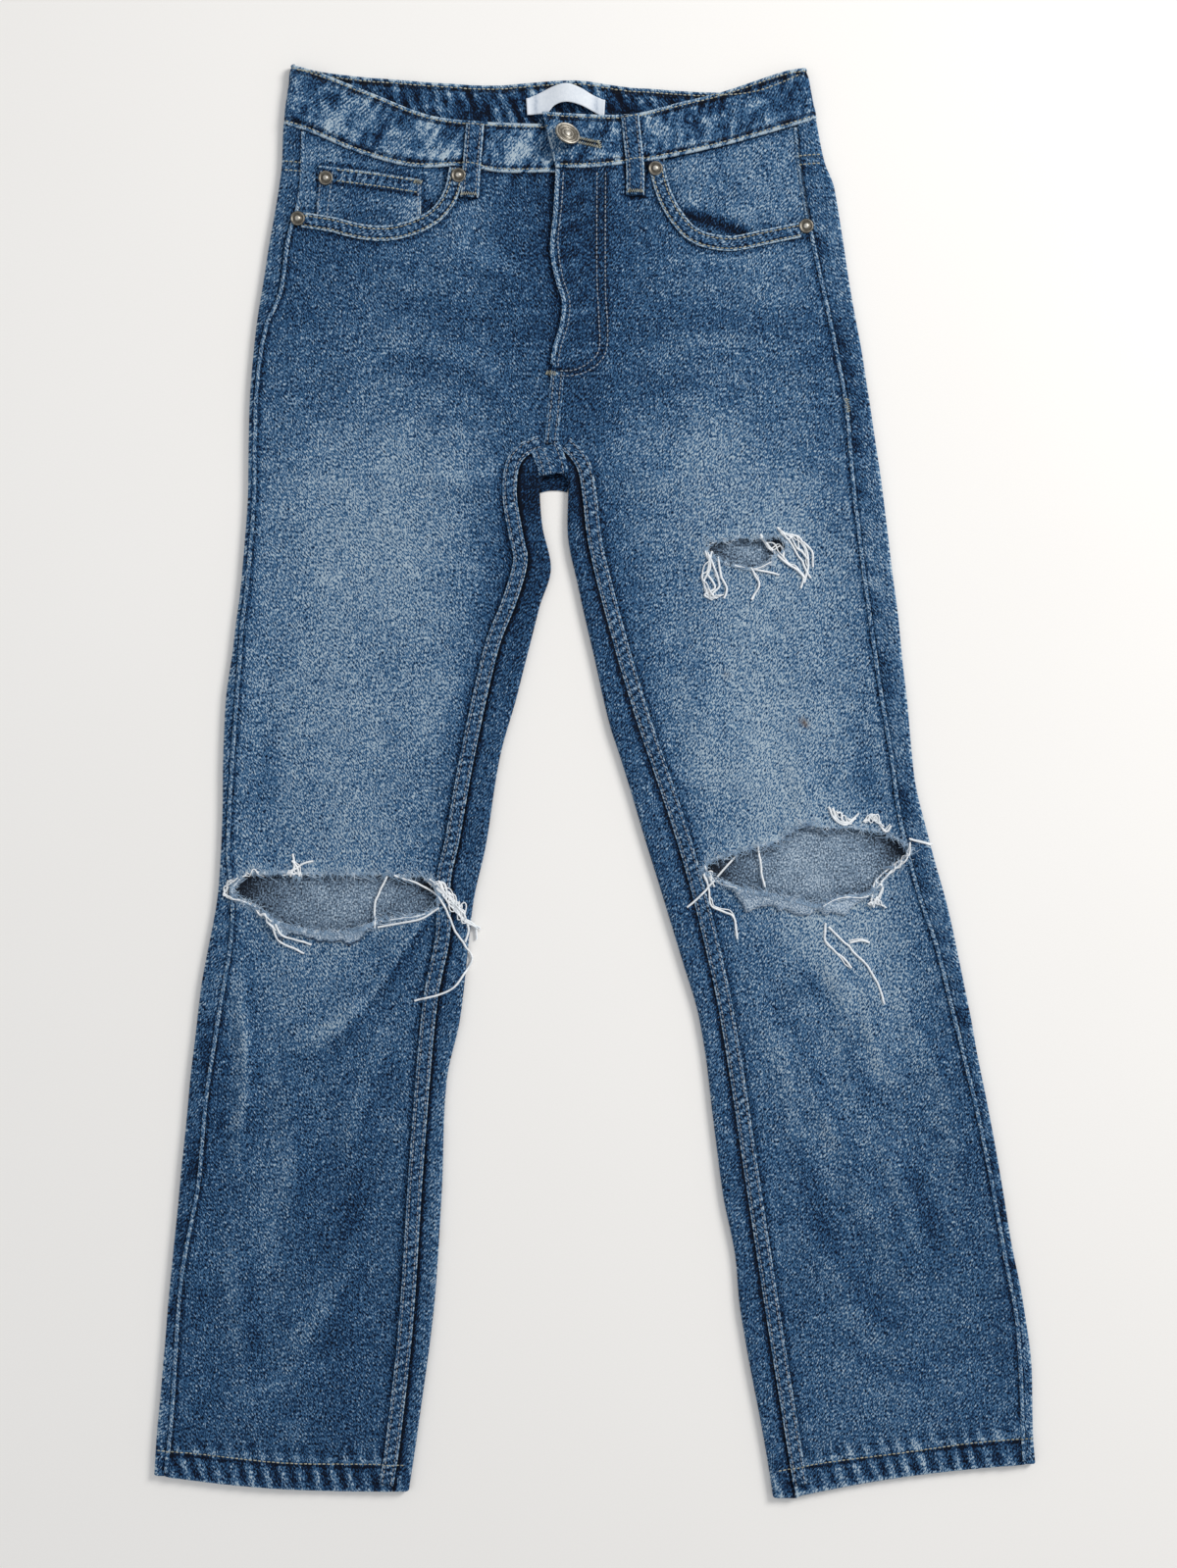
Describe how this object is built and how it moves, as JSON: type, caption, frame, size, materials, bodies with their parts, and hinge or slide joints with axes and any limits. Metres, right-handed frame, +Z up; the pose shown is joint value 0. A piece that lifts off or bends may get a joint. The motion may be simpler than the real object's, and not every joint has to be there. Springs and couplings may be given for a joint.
{
  "type": "ripped jeans",
  "caption": "Straight-leg ripped denim jeans lying flat: waistband with loops and a button, scooped front pockets, a coin pocket, torn knees and a torn thigh.",
  "frame": {"origin": "middle of the bounding box's underside, on the surface that the jeans lie on", "axes": "+Y towards the waistband, +Z up from the surface, the wearer's right leg on the -X side"},
  "size_m": [0.6724, 1.092, 0.0142],
  "materials": {
    "denim": "mid-blue faded denim twill",
    "denim_trim": "darker blue denim twill with tan stitching",
    "label_tape": "matt white woven tape",
    "antique_metal": "worn antique silver-brass"
  },
  "bodies": {
    "root": {"front_right": "denim", "front_left": "denim", "back_right": "denim", "back_left": "denim", "yoke_right": "denim", "yoke_left": "denim", "back_pocket_right": "denim_trim", "back_pocket_left": "denim_trim", "pocket_facing_right": "denim_trim", "pocket_facing_left": "denim_trim", "coin_pocket": "denim_trim", "waistband": "denim_trim", "belt_loop_front_right": "denim_trim", "belt_loop_front_left": "denim_trim", "belt_loop_back_centre": "denim_trim", "belt_loop_back_right": "denim_trim", "belt_loop_back_left": "denim_trim", "label": "label_tape", "button": "antique_metal", "rivet_right_inner": "antique_metal", "rivet_right_outer": "antique_metal", "rivet_coin": "antique_metal", "rivet_left_inner": "antique_metal", "rivet_left_outer": "antique_metal"}
  },
  "joints": []
}
